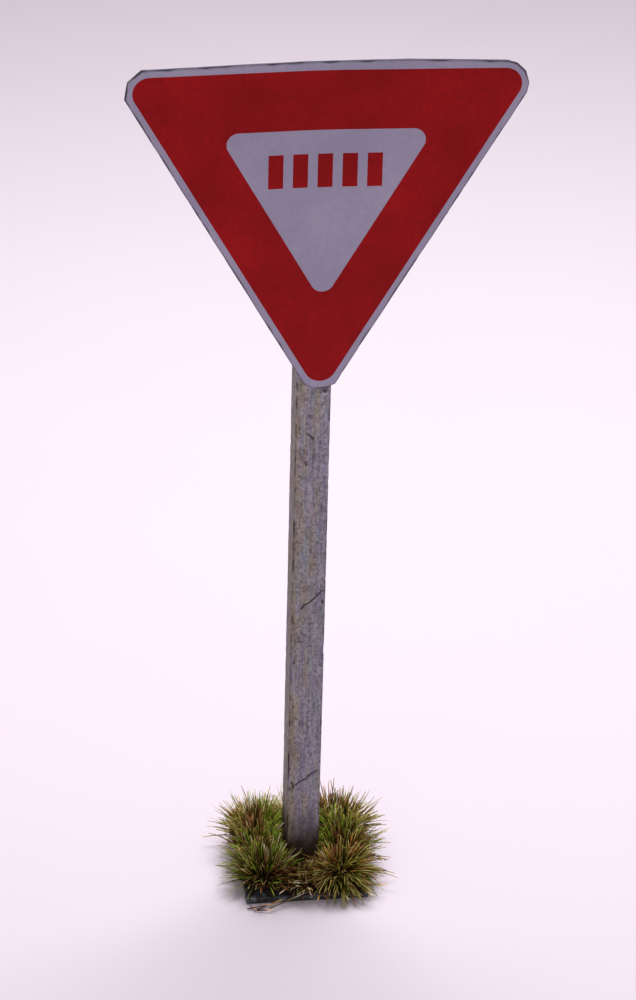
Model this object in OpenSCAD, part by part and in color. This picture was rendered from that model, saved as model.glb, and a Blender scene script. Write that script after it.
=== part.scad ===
// Signpost with sign: a hobby-scale road sign on a square timber post.
// The post stands in a socket in a small square base plate, which is dressed with
// ground paste and eight self-adhesive grass tufts. The triangular sign is a card
// blank with a printed paper face, glued flat to the front of the post.
// Frame: +Z up, the sign faces -Y, the origin is on the post's axis at the underside
// of the base plate. All sizes are in millimetres.

/* [Base plate] */
// Side of the square base plate
plate_side = 18.8; // [17.5:0.1:26]
// Thickness of the base plate
plate_thickness = 1.0; // [0.9:0.1:3]
// Radius of the plate's upright corners
plate_corner_r = 0.4; // [0.1:0.1:2]
// Depth of the socket that the post stands in
socket_depth = 0.6; // [0.3:0.1:0.8]

/* [Post] */
// Side of the square post
post_side = 5.0; // [4:0.1:6]
// Chamfer on the post's long edges
post_chamfer = 0.2; // [0.05:0.05:0.8]
// Distance from the sign's top edge down to the post's top
post_setback = 6.7; // [2:0.1:15]
// Clearance between the post and its socket, each side
socket_clearance = 0.05; // [0.02:0.01:0.2]
// Width of the glue bead around the post's foot
bead_width = 0.7; // [0.3:0.1:0.8]
// Height of the glue bead above the plate
bead_height = 1.4; // [0.8:0.1:2.5]

/* [Sign blank] */
// Height of the sign's top edge above the ground
sign_top = 132.7; // [100:0.1:180]
// Distance of the sign's middle to the right of the post's axis
sign_offset = 0.75; // [-3:0.05:3]
// How far the hand-cut top edge rises to its slight peak
top_rise = 0.3; // [0:0.05:1]
// Distance of that peak to the right of the sign's middle
top_rise_at = 11; // [-18:1:18]
// Thickness of the card blank
card_thickness = 0.4; // [0.2:0.1:1.5]
// Thickness of the printed paper face
label_thickness = 0.1; // [0.05:0.05:0.4]
// Thickness of the glue between the blank and the post
glue_thickness = 0.1; // [0.05:0.05:0.4]
// Angle that each wing of the sign is bent forward
wing_bend = 2.5; // [0.5:0.5:10]
// Radius of the circles that the scissor snips follow at the two upper corners
snip_r = 3.5; // [1:0.1:6]
// Radius of the circle that the snips follow at the lower tip
tip_snip_r = 3.2; // [1:0.1:6]

/* [Sign print] */
// Side of the red triangle, measured to its sharp corners
red_side = 57.0; // [45:0.5:75]
// Corner radius of the red triangle
red_corner_r = 2.35; // [0.5:0.05:5]
// Width of the white border around the red
border_width = 1.04; // [0.3:0.02:3]
// Width of the red along the top
top_band = 8.7; // [4:0.1:12]
// Width of the red along the two sides
side_band = 7.3; // [4:0.1:10]
// Corner radius of the white middle field
field_corner_r = 1.7; // [0.3:0.1:4]
// How many plain bars the legend has
bar_count = 5; // [1:1:9]
// Width of one legend bar
bar_width = 2.1; // [0.5:0.1:3]
// Gap between two legend bars
bar_gap = 1.35; // [0.4:0.05:3]
// Height of the legend bars
bar_height = 5.0; // [1:0.1:7]
// Distance from the field's top edge down to the legend bars
bar_drop = 3.5; // [1:0.1:6]

/* [Ground and grass] */
// Thickness of the ground paste
paste_thickness = 0.6; // [0.3:0.1:1.5]
// Distance of the paste from the plate's edge
paste_inset = 0.4; // [0.2:0.1:1.5]
// Radius of the plate corner that the paste leaves bare
bare_corner_r = 3.6; // [1:0.1:6]
// Radius of the glue pad under each grass tuft
pad_r = 2.0; // [1.5:0.1:2.3]
// Thickness of the glue pad under each grass tuft
pad_thickness = 0.5; // [0.2:0.1:1]
// Length of the grass from the pad to its tips
grass_length = 7.6; // [4:0.1:9]
// Radius of a tuft where it is widest
grass_spread_r = 3.2; // [2:0.1:3.3]
// Angle that each tuft leans away from the post
grass_lean = 32; // [10:1:40]

/* [Hidden] */

$fn = 64;
cut = 1;                      // how far a cutting solid runs past what it cuts
sqrt3 = sqrt(3);

// Levels, from the ground up
paste_z = plate_thickness + paste_thickness;
grass_z = paste_z + pad_thickness;
foot_z = plate_thickness - socket_depth;
post_top = sign_top - post_setback;

// The sign stands in front of the post's front face
post_half = post_side / 2;
card_back = glue_thickness;
card_front = card_back + card_thickness;
label_front = card_front + label_thickness;
red_top = sign_top - border_width;
outer_side = red_side + 2 * sqrt3 * border_width;
tip_z = sign_top - outer_side * sqrt3 / 2 + tip_snip_r;
field_side = red_side - (top_band + 2 * side_band) * 2 / sqrt3;
sheet_reach = outer_side / 2 + abs(sign_offset) + cut;
sheet_depth = label_front + sheet_reach * sin(wing_bend) + cut;

// Outward directions of the sign's three edges: top, left and right
edge_dirs = [90, 210, 330];
// Directions of the straight snips at the left, lower and right corner, in that order
snip_dirs = [[90, 131, 172, 210], [210, 236, 266, 292, 330], [330, 350, 378, 406, 432, 450]];

// Glue over the middle of the blank, and the drop squeezed out under its tip
sign_glue_width = 0.8 * post_side;
sign_glue_low = tip_z + 1.8;
sign_glue_top = post_top - 1.5;
drop_r = 0.55;
drop_x = sign_offset + 0.85;
drop_z = tip_z - drop_r - 0.15;

// Tuft places: gap between the post's face and the pad, and the place along that face.
// The outward axis of each tuft runs away from the post's axis.
tuft_gap = 2.1;
tuft_out = post_half + tuft_gap + pad_r;
tuft_at = [
    [-0.89 * tuft_out, 0.92 * tuft_out],
    [0.4, tuft_out],
    [0.97 * tuft_out, 0.94 * tuft_out],
    [-0.97 * tuft_out, 0.9],
    [1.03 * tuft_out, 0.6],
    [-0.92 * tuft_out, -0.7 * tuft_out],
    [-0.2, -tuft_out],
    [0.82 * tuft_out, -0.84 * tuft_out]
];

function on_circle(r, a) = [r * cos(a), r * sin(a)];

// Centre of a corner circle of radius r, in a triangle of this side that points down
// and has its top edge at y = 0. Corner 0 is the left, 1 the lower and 2 the right one.
function corner_centre(side, r, corner) =
    corner == 0 ? [-side / 2 + sqrt3 * r, -r] :
    corner == 1 ? [0, -side * sqrt3 / 2 + 2 * r] :
    [side / 2 - sqrt3 * r, -r];

// Where two straight cuts that touch the same circle meet
function cut_corner(r, a, b) = on_circle(r / cos((b - a) / 2), (a + b) / 2);

// Edge of the bent sheet in plan, at a given distance in front of the post
function sheet_edge(d) =
    let (bend_x = post_half - d * tan(wing_bend / 2),
         end_x = post_half + sheet_reach * cos(wing_bend) - d * sin(wing_bend),
         end_y = -post_half - sheet_reach * sin(wing_bend) - d * cos(wing_bend),
         bend_y = -post_half - d)
    [[-end_x, end_y], [-bend_x, bend_y], [bend_x, bend_y], [end_x, end_y]];

function reversed(list) = [for (i = [len(list) - 1 : -1 : 0]) list[i]];

// Square with round corners, centred
module round_square(side, r) {
    square([side - 2 * r, side], center = true);
    square([side, side - 2 * r], center = true);
    for (x = [-1, 1], y = [-1, 1])
        translate([x, y] * (side / 2 - r)) circle(r);
}

// Square with chamfered corners, centred
module chamfered_square(side, c) {
    h = side / 2;
    polygon([[-h + c, -h], [h - c, -h], [h, -h + c], [h, h - c],
             [h - c, h], [-h + c, h], [-h, h - c], [-h, -h + c]]);
}

// Triangle that points down, with round corners and its top edge at y = 0
module round_triangle(side, r) {
    polygon([for (corner = [0:2], turn = [0, 1])
        corner_centre(side, r, corner) + on_circle(r, edge_dirs[(corner + turn) % 3])]);
    for (corner = [0:2])
        translate(corner_centre(side, r, corner)) circle(r);
}

// Outline of the blank: a triangle with its corners snipped straight by hand and a top
// edge made by two cuts that meet at a slight peak
module blank_outline() {
    snipped = [for (corner = [0:2])
        let (r = corner == 1 ? tip_snip_r : snip_r,
             centre = corner_centre(outer_side, r, corner),
             dirs = snip_dirs[corner])
        for (i = [0 : len(dirs) - 2])
            centre + cut_corner(r, dirs[i], dirs[i + 1])];
    translate([0, border_width])
        polygon(concat(snipped, [[top_rise_at, top_rise]]));
}

module red_outline() {
    round_triangle(red_side, red_corner_r);
}

module field_outline() {
    translate([0, -top_band]) round_triangle(field_side, field_corner_r);
}

module bars_outline() {
    pitch = bar_width + bar_gap;
    for (i = [0 : bar_count - 1])
        translate([(i - (bar_count - 1) / 2) * pitch - bar_width / 2,
                   -top_band - bar_drop - bar_height])
            square([bar_width, bar_height]);
}

// One layer of the bent sheet, cut to the outline given as its child
module sheet_layer(back, front) {
    intersection() {
        linear_extrude(height = sign_top + top_rise + cut)
            polygon(concat(sheet_edge(front), reversed(sheet_edge(back))));
        translate([sign_offset, cut, red_top])
            rotate([90, 0, 0])
                linear_extrude(height = post_half + sheet_depth + 2 * cut)
                    children();
    }
}

module base_plate() {
    color("#39402f")
    difference() {
        linear_extrude(height = plate_thickness)
            round_square(plate_side, plate_corner_r);
        translate([0, 0, foot_z])
            linear_extrude(height = socket_depth + cut)
                square(post_side + 2 * socket_clearance, center = true);
    }
}

module ground_paste() {
    paste_side = plate_side - 2 * paste_inset;
    color("#3a2a1c")
    translate([0, 0, plate_thickness])
        linear_extrude(height = paste_thickness)
            difference() {
                round_square(paste_side, plate_corner_r);
                square(post_side + 2 * bead_width, center = true);
                translate([-plate_side / 2, -plate_side / 2]) circle(bare_corner_r);
            }
}

module post() {
    color("#7a6f74")
    translate([0, 0, foot_z])
        linear_extrude(height = post_top - foot_z)
            chamfered_square(post_side, post_chamfer);
}

// Bead with upright sides below and slopes above, the same on all four sides
module post_glue() {
    foot = post_half + bead_width;
    neck = post_half + 0.1;
    shoulder = min(paste_thickness, bead_height / 2);
    color("#4b3d33")
    translate([0, 0, plate_thickness])
    difference() {
        intersection_for (turn = [0, 90])
            rotate([90, 0, turn])
                linear_extrude(height = 2 * foot, center = true)
                    polygon([[-foot, 0], [foot, 0], [foot, shoulder],
                             [neck, bead_height], [-neck, bead_height],
                             [-foot, shoulder]]);
        translate([0, 0, -cut])
            linear_extrude(height = bead_height + 2 * cut)
                chamfered_square(post_side, post_chamfer);
    }
}

module sign_glue() {
    color("#8c8478") {
        translate([-sign_glue_width / 2, -post_half - glue_thickness, sign_glue_low])
            cube([sign_glue_width, glue_thickness, sign_glue_top - sign_glue_low]);
        // the drop sits on the post's front face, and a thin run joins it to the pad
        translate([drop_x - drop_r / 2, -post_half - glue_thickness, drop_z])
            cube([drop_r, glue_thickness, sign_glue_low - drop_z]);
        intersection() {
            translate([drop_x, -post_half, drop_z]) sphere(drop_r);
            translate([drop_x, -post_half - drop_r, drop_z])
                cube(2 * drop_r, center = true);
        }
    }
}

module sign_card() {
    color("#b9b4ad") sheet_layer(card_back, card_front) blank_outline();
}

module label_border() {
    color("#d9cfd0")
    sheet_layer(card_front, label_front)
        difference() {
            blank_outline();
            red_outline();
        }
}

module label_red_band() {
    color("#8e1519")
    sheet_layer(card_front, label_front)
        difference() {
            red_outline();
            field_outline();
        }
}

module label_field() {
    color("#d9cfd0")
    sheet_layer(card_front, label_front)
        difference() {
            field_outline();
            bars_outline();
        }
}

module label_bars() {
    color("#8e1519") sheet_layer(card_front, label_front) bars_outline();
}

// Glue pad that a tuft was cast on
module pad(i) {
    color("#5a4a30")
    translate([tuft_at[i].x, tuft_at[i].y, paste_z])
        cylinder(r = pad_r, h = pad_thickness);
}

// Plain body of a tuft: a flared, leaning bunch, cut level where it meets its pad
module grass(i, tint) {
    root_r = pad_r / 2;
    widest = 0.66 * grass_length;
    flare = (grass_spread_r - root_r) / widest;
    below = root_r;
    away = atan2(tuft_at[i].y, tuft_at[i].x);
    color(tint)
    translate([tuft_at[i].x, tuft_at[i].y, grass_z])
    difference() {
        rotate([0, 0, away]) rotate([0, grass_lean, 0])
            rotate_extrude()
                polygon([[0, -below], [root_r - flare * below, -below],
                         [grass_spread_r, widest],
                         [0.7 * grass_spread_r, 0.95 * grass_length],
                         [0, grass_length]]);
        translate([0, 0, -grass_length]) cube(2 * grass_length, center = true);
    }
}

base_plate();
ground_paste();
post();
post_glue();
sign_glue();
sign_card();
label_border();
label_red_band();
label_field();
label_bars();
pad(0);  // pad_back_left
pad(1);  // pad_back
pad(2);  // pad_back_right
pad(3);  // pad_left
pad(4);  // pad_right
pad(5);  // pad_front_left
pad(6);  // pad_front
pad(7);  // pad_front_right
grass(0, "#5d6a2a");  // grass_back_left
grass(1, "#6b5a34");  // grass_back
grass(2, "#5f6b2c");  // grass_back_right
grass(3, "#4f6a24");  // grass_left
grass(4, "#56702a");  // grass_right
grass(5, "#4c5c22");  // grass_front_left
grass(6, "#55501f");  // grass_front
grass(7, "#6a5426");  // grass_front_right
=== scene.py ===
"""Looks for a hobby-scale road sign: card sign, strip-wood post and a plate with grass tufts.

Every length is in metres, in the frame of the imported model: +Z up, the sign faces -Y,
and the origin is on the post's axis at the underside of the base plate.
"""
import math
import random

import bmesh
import bpy
from mathutils import Matrix, Vector, noise


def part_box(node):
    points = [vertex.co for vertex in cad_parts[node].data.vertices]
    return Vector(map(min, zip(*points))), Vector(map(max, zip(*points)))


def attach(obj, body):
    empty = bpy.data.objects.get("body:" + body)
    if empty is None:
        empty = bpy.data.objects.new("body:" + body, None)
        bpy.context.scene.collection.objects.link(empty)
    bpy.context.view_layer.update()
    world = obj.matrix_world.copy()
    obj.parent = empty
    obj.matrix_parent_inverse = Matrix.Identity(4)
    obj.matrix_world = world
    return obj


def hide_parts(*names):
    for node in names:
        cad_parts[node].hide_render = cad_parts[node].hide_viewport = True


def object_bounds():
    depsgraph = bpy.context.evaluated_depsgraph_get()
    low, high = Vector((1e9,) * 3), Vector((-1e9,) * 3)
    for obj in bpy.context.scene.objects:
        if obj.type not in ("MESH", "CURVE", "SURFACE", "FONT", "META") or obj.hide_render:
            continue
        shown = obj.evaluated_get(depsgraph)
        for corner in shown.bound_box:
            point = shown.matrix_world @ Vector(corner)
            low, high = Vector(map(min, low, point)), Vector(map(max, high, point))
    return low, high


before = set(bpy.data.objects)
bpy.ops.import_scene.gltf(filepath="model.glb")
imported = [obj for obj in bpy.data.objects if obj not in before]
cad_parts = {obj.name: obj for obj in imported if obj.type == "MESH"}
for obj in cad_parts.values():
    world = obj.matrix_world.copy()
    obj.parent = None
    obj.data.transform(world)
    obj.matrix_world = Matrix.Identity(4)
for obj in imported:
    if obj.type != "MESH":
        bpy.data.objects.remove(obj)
cad_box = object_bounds()

MM = 0.001
BODY = "root"

# ---------------- camera and light

CAMERA_AZIMUTH = -8.7       # degrees, to the left of the sign's front
CAMERA_ELEVATION = 28.0
CAMERA_ROLL = 1.5
CAMERA_DISTANCE = 522 * MM
CAMERA_AIM = Vector((1.41, 0, 63.8)) * MM
CAMERA_LENS = 129.1         # mm, on a 36 mm sensor
PAPER_SWEEP = 4.0           # m, side of the floor


def make_camera():
    """A long lens, looking down on the sign from a little to its left."""
    azimuth = math.radians(CAMERA_AZIMUTH)
    elevation = math.radians(CAMERA_ELEVATION)
    back = Vector((math.sin(azimuth) * math.cos(elevation),
                   -math.cos(azimuth) * math.cos(elevation),
                   math.sin(elevation)))
    right = Vector((math.cos(azimuth), math.sin(azimuth), 0))
    turn = Matrix((right, back.cross(right), back)).transposed()
    turn = turn @ Matrix.Rotation(math.radians(CAMERA_ROLL), 3, "Z")
    data = bpy.data.cameras.new("camera")
    data.lens = CAMERA_LENS
    data.clip_start = 0.01
    camera = bpy.data.objects.new("camera", data)
    camera.matrix_world = Matrix.Translation(CAMERA_AIM + back * CAMERA_DISTANCE) @ turn.to_4x4()
    bpy.context.scene.collection.objects.link(camera)
    bpy.context.scene.camera = camera


def soft_light(name, place, target, size, watts, tint):
    """A round softbox of a given size in metres, aimed at a target."""
    data = bpy.data.lights.new(name, "AREA")
    data.shape = "DISK"
    data.size = size
    data.energy = watts
    data.color = tint
    lamp = bpy.data.objects.new(name, data)
    lamp.location = place
    lamp.rotation_euler = (Vector(target) - Vector(place)).to_track_quat("-Z", "Y").to_euler()
    bpy.context.scene.collection.objects.link(lamp)


# ---------------- materials

def linear(hex_code):
    """An sRGB hex colour as the linear RGBA that Blender works in."""
    parts = [int(hex_code[i:i + 2], 16) / 255 for i in (1, 3, 5)]
    parts = [c / 12.92 if c < 0.04045 else ((c + 0.055) / 1.055) ** 2.4 for c in parts]
    return (*parts, 1.0)


def set_inputs(tree, node, links):
    """Gives a node's inputs, by name or number, a value, another node's output, or another
    node, which stands for its first output."""
    for key, value in links.items():
        if isinstance(value, bpy.types.Node):
            value = value.outputs[0]
        if isinstance(value, bpy.types.NodeSocket):
            tree.links.new(value, node.inputs[key])
        else:
            node.inputs[key].default_value = value


def add_node(tree, kind, links=None, stops=None, **settings):
    """Adds a shader node with its settings. links is as in set_inputs; stops are a colour
    ramp's (place, hex colour) pairs."""
    node = tree.nodes.new("ShaderNode" + kind)
    for key, value in settings.items():
        setattr(node, key, value)
    set_inputs(tree, node, links or {})
    if stops:
        elements = node.color_ramp.elements
        while len(elements) < len(stops):
            elements.new(0.5)
        for element, (place, colour) in zip(elements, stops):
            element.position = place
            element.color = linear(colour)
    return node


def new_material(name, roughness, ior, specular=0.5):
    """An empty dielectric material, with its node tree, shader and object coordinates."""
    material = bpy.data.materials.new(name)
    material.use_nodes = True
    tree = material.node_tree
    shader = tree.nodes["Principled BSDF"]
    set_inputs(tree, shader, {
        "Roughness": roughness, "IOR": ior, "Specular IOR Level": specular})
    coords = add_node(tree, "TexCoord").outputs["Object"]
    return material, tree, shader, coords


def per_mm(size):
    """Texture scale at which one cell of a pattern is this many millimetres."""
    return 1 / (size * MM)


def weathered_strip_wood():
    """Basswood strip under a thin grey acrylic wash: the wash gives a chalky mauve grey that
    has settled unevenly, the grain shows through as warm streaks, and the ground paste has
    stained the foot dark."""
    material, tree, shader, coords = new_material("weathered_strip_wood", 0.75, 1.48, 0.25)
    # wash: blotches about 0.75 mm wide and three times as long
    wash_space = add_node(tree, "Mapping", {"Vector": coords, "Scale": (1, 1, 0.34)})
    wash = add_node(tree, "TexNoise", {
        "Vector": wash_space, "Scale": per_mm(0.75), "Detail": 7.0, "Roughness": 0.72})
    chalk = add_node(tree, "ValToRGB", {"Fac": wash},
                     [(0.3, "#7f7681"), (0.44, "#a9a2ac"), (0.56, "#bfb8c1"), (0.7, "#ded7df")])
    # grain: streaks about 0.4 mm wide and 16 times as long
    grain_space = add_node(tree, "Mapping", {"Vector": coords, "Scale": (1, 1, 0.06)})
    grain = add_node(tree, "TexNoise", {
        "Vector": grain_space, "Scale": per_mm(0.42), "Detail": 6.0,
        "Roughness": 0.68, "Distortion": 0.5})
    streak = add_node(tree, "ValToRGB", {"Fac": grain},
                      [(0.3, "#6f636b"), (0.44, "#aaa1a7"), (0.55, "#beb7bd"), (0.7, "#e3dcd8")])
    colour = add_node(tree, "Mix", {0: 0.5, 6: chalk, 7: streak}, data_type="RGBA").outputs[2]
    # bare wood, warm, shows in long islands; the right side is bluer
    side = add_node(tree, "SeparateXYZ", {0: coords})
    islands = add_node(tree, "Mapping", {"Vector": coords, "Scale": (1, 1, 0.16)})
    bare = add_node(tree, "TexNoise", {
        "Vector": islands, "Scale": per_mm(1.3), "Detail": 5.0, "Roughness": 0.6})
    leftness = add_node(tree, "MapRange", {
        0: side, 1: -2.5 * MM, 2: 2.0 * MM, 3: 0.09, 4: -0.09})
    warm_at = add_node(tree, "Math", {0: bare, 1: leftness}, operation="ADD")
    tint = add_node(tree, "ValToRGB", {"Fac": warm_at},
                    [(0.38, "#e4e9f4"), (0.5, "#edeff0"), (0.58, "#f0eddc"), (0.7, "#e8dfc0")])
    # the wash has parted into faint violet and green pools, 1 mm wide
    pool_space = add_node(tree, "Mapping", {
        "Vector": coords, "Location": (0.01, 0.02, 0.03), "Scale": (1, 1, 0.45)})
    pools = add_node(tree, "TexNoise", {
        "Vector": pool_space, "Scale": per_mm(1.0), "Detail": 4.0, "Roughness": 0.65})
    parted = add_node(tree, "ValToRGB", {"Fac": pools},
                      [(0.36, "#efeaf3"), (0.47, "#f7f5f7"), (0.55, "#f2f6ef"), (0.68, "#e6eedb")])
    # painted light: the post is lighter towards the top, against the shade under the sign
    painted_light_top = add_node(tree, "MapRange", {
        0: side.outputs[2], 1: 45 * MM, 2: 88 * MM, 3: 1.02, 4: 1.26})
    # pigment specks of the wash, about 0.4 mm
    speck = add_node(tree, "TexNoise", {
        "Vector": coords, "Scale": per_mm(0.38), "Detail": 3.0, "Roughness": 0.6})
    speckled = add_node(tree, "ValToRGB", {"Fac": speck},
                        [(0.34, "#c4bcc6"), (0.48, "#eae6ea"), (0.62, "#ffffff")])
    for layer in (tint, parted, painted_light_top, speckled):
        colour = add_node(tree, "Mix", {0: 1.0, 6: colour, 7: layer},
                          data_type="RGBA", blend_type="MULTIPLY").outputs[2]
    # pores: short dark dashes up to 0.35 mm wide, coarser than basswood's so that they show
    pore_space = add_node(tree, "Mapping", {"Vector": coords, "Scale": (1, 1, 0.4)})
    pores = add_node(tree, "TexNoise", {
        "Vector": pore_space, "Scale": per_mm(0.36), "Detail": 2.0})
    pore = add_node(tree, "MapRange", {0: pores, 1: 0.59, 2: 0.7, 3: 0.0, 4: 0.6})
    colour = add_node(tree, "Mix", {0: pore, 6: colour, 7: linear("#4b4148")},
                      data_type="RGBA").outputs[2]
    # cracks, worn arrises, smears and the stained foot are painted on the mesh
    stain = add_node(tree, "Attribute", attribute_name="stain")
    blot = add_node(tree, "Math", {0: wash, 1: 0.5}, operation="SUBTRACT")
    soaked = add_node(tree, "Math", {0: blot, 1: 0.7, 2: stain.outputs[2]},
                      operation="MULTIPLY_ADD")
    dark = add_node(tree, "MapRange", {0: soaked, 1: 0.1, 2: 0.86, 3: 0.0, 4: 0.97})
    colour = add_node(tree, "Mix", {0: dark, 6: colour, 7: linear("#342412")},
                      data_type="RGBA").outputs[2]
    bump = add_node(tree, "Bump", {"Height": grain, "Distance": 0.06 * MM, "Strength": 0.7})
    set_inputs(tree, shader, {"Base Color": colour, "Normal": bump})
    return material


def printed_paper(name, hex_code, deep_hex):
    """Laser print on plain paper, matt: nearly even colour, faint mottling of the toner, and
    a darker line where the edge paint has crept onto the face."""
    material, tree, shader, coords = new_material(name, 0.62, 1.5, 0.14)
    mottle = add_node(tree, "TexNoise", {
        "Vector": coords, "Scale": per_mm(0.7), "Detail": 5.0, "Roughness": 0.7})
    cloud = add_node(tree, "TexNoise", {"Vector": coords, "Scale": per_mm(9.0), "Detail": 2.0})
    both = add_node(tree, "Math", {0: mottle, 1: cloud}, operation="MULTIPLY")
    ink = add_node(tree, "MapRange", {0: both, 1: 0.16, 2: 0.36, 3: 0.0, 4: 1.0})
    colour = add_node(tree, "Mix", {0: ink, 6: linear(deep_hex), 7: linear(hex_code)},
                      data_type="RGBA").outputs[2]
    edge = add_node(tree, "Attribute", attribute_name="edge")
    crept = add_node(tree, "Math", {0: mottle, 1: 0.35, 2: edge.outputs[2]},
                     operation="MULTIPLY_ADD")
    line = add_node(tree, "MapRange", {0: crept, 1: 0.98, 2: 1.16, 3: 0.0, 4: 0.75})
    colour = add_node(tree, "Mix", {0: line, 6: colour, 7: linear("#4b4757")},
                      data_type="RGBA").outputs[2]
    fibre = add_node(tree, "TexNoise", {"Vector": coords, "Scale": per_mm(0.12), "Detail": 3.0})
    bump = add_node(tree, "Bump", {"Height": fibre, "Distance": 0.01 * MM, "Strength": 0.5})
    set_inputs(tree, shader, {"Base Color": colour, "Normal": bump})
    return material


def grey_card():
    """Uncoated grey chipboard card: soft, fibrous and matt, its cut edges painted dark."""
    material, tree, shader, coords = new_material("grey_card", 0.85, 1.45, 0.25)
    flecks = add_node(tree, "TexNoise", {
        "Vector": coords, "Scale": per_mm(0.4), "Detail": 6.0, "Roughness": 0.75})
    pulp = add_node(tree, "ValToRGB", {"Fac": flecks},
                    [(0.3, "#7d766c"), (0.5, "#a19a8f"), (0.68, "#b5aea3")])
    edge = add_node(tree, "Attribute", attribute_name="edge")
    paint = add_node(tree, "Math", {0: flecks, 1: 0.3, 2: edge.outputs[2]},
                     operation="MULTIPLY_ADD")
    painted = add_node(tree, "MapRange", {0: paint, 1: 1.0, 2: 1.08, 3: 0.0, 4: 0.96})
    colour = add_node(tree, "Mix", {0: painted, 6: pulp, 7: linear("#464350")},
                      data_type="RGBA").outputs[2]
    bump = add_node(tree, "Bump", {"Height": flecks, "Distance": 0.04 * MM, "Strength": 0.5})
    set_inputs(tree, shader, {"Base Color": colour, "Normal": bump})
    return material


def dried_glue():
    """Contact glue dried clear over dirt: smooth and glossy, with painted shade in its sunken
    middle and a painted highlight along the lip."""
    material, tree, shader, coords = new_material("dried_contact_glue", 0.22, 1.5)
    dirt = add_node(tree, "TexNoise", {"Vector": coords, "Scale": per_mm(0.5), "Detail": 4.0})
    # painted shade and highlight: dark in the drop's sunken middle, pale on its lower lip
    painted_shade_and_glint = add_node(tree, "Attribute", attribute_name="painted_shade_and_glint")
    shown = add_node(tree, "Math", {0: dirt, 1: 0.25, 2: painted_shade_and_glint.outputs[2]},
                     operation="MULTIPLY_ADD")
    colour = add_node(tree, "ValToRGB", {"Fac": shown},
                      [(0.12, "#1f191f"), (0.5, "#8f8791"), (0.68, "#968e98"), (1.0, "#e6dfea")])
    set_inputs(tree, shader, {"Base Color": colour})
    return material


def earth_paste():
    """Acrylic texture paste with fine sand: matt dark earth, gritty, grains about 0.3 mm."""
    material, tree, shader, coords = new_material("earth_texture_paste", 0.8, 1.5, 0.3)
    grit = add_node(tree, "TexVoronoi", {"Vector": coords, "Scale": per_mm(0.35)})
    patch = add_node(tree, "TexNoise", {
        "Vector": coords, "Scale": per_mm(1.8), "Detail": 5.0, "Roughness": 0.7})
    earth = add_node(tree, "ValToRGB", {"Fac": patch},
                     [(0.3, "#1c140f"), (0.5, "#2c1f17"), (0.62, "#43301f"), (0.75, "#5a432c")])
    tone = add_node(tree, "MapRange", {0: grit, 1: 0.0, 2: 0.7, 3: 0.0, 4: 0.5})
    colour = add_node(tree, "Mix", {0: tone, 6: earth, 7: linear("#120d0a")},
                      data_type="RGBA").outputs[2]
    bump = add_node(tree, "Bump", {"Height": grit, "Distance": 0.15 * MM, "Strength": 0.8})
    set_inputs(tree, shader, {"Base Color": colour, "Normal": bump})
    return material


def painted_styrene():
    """Styrene sheet brushed with near-black paint: satin, with glossy glue smears about 1 mm wide
    whose pale bluish colour is a painted glint."""
    material, tree, shader, coords = new_material("painted_styrene", 0.5, 1.55)
    brush_and_painted_glint = add_node(tree, "TexNoise", {
        "Vector": coords, "Scale": per_mm(1.2), "Detail": 5.0, "Roughness": 0.65})
    # the pale bluish end of this ramp is a painted glint on the glue smears
    colour = add_node(tree, "ValToRGB", {"Fac": brush_and_painted_glint},
                      [(0.32, "#130e11"), (0.46, "#262125"), (0.56, "#3b4244"), (0.68, "#74838c")])
    gloss = add_node(tree, "MapRange", {0: brush_and_painted_glint, 1: 0.4, 2: 0.62, 3: 0.65, 4: 0.3})
    bump = add_node(tree, "Bump", {"Height": brush_and_painted_glint, "Distance": 0.08 * MM, "Strength": 0.6})
    set_inputs(tree, shader, {"Base Color": colour, "Roughness": gloss, "Normal": bump})
    return material


def latex_pad():
    """Brown latex that a tuft is cast on: rubbery, slightly glossy, full of fibre stubs."""
    material, tree, shader, coords = new_material("latex_pad", 0.45, 1.52)
    stubs = add_node(tree, "TexNoise", {"Vector": coords, "Scale": per_mm(0.25), "Detail": 3.0})
    colour = add_node(tree, "ValToRGB", {"Fac": stubs},
                      [(0.35, "#1a130c"), (0.6, "#3a2d18"), (0.75, "#4c4221")])
    bump = add_node(tree, "Bump", {"Height": stubs, "Distance": 0.1 * MM, "Strength": 0.8})
    set_inputs(tree, shader, {"Base Color": colour, "Normal": bump})
    return material


def static_grass():
    """Dyed nylon flock fibres: delustred, so with a soft shine, each one its own colour. Their
    colour is darkened at the root as painted shade and paled towards the cut tip as painted light
    coming through them."""
    material, tree, shader, coords = new_material("nylon_static_grass", 0.5, 1.53, 0.22)
    tint = add_node(tree, "Attribute", attribute_name="fibre_tint")
    dye = add_node(tree, "TexNoise", {"Vector": coords, "Scale": per_mm(1.1), "Detail": 2.0})
    fade = add_node(tree, "MapRange", {0: dye, 1: 0.3, 2: 0.7, 3: 0.75, 4: 1.2})
    colour = add_node(tree, "Mix", {0: 1.0, 6: tint, 7: fade},
                      data_type="RGBA", blend_type="MULTIPLY").outputs[2]
    set_inputs(tree, shader, {"Base Color": colour})
    return material


def pale_floor():
    """Matt white paper sweep with the faintest unevenness."""
    material, tree, shader, coords = new_material("matt_white_paper", 0.9, 1.45, 0.1)
    cloud = add_node(tree, "TexNoise", {"Vector": coords, "Scale": per_mm(60.0), "Detail": 3.0})
    colour = add_node(tree, "Mix", {0: cloud, 6: linear("#d9d0d9"), 7: linear("#dcd3dc")},
                      data_type="RGBA").outputs[2]
    set_inputs(tree, shader, {"Base Color": colour})
    return material


# ---------------- modelling helpers

def pick(obj):
    """Selects one object alone and makes it the active one."""
    bpy.ops.object.select_all(action="DESELECT")
    obj.select_set(True)
    bpy.context.view_layer.objects.active = obj


def put_in_place(obj, name):
    """Names the piece and moves its place into its mesh."""
    obj.name = obj.data.name = name
    pick(obj)
    bpy.ops.object.transform_apply(location=True, rotation=True, scale=True)
    return obj


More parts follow.
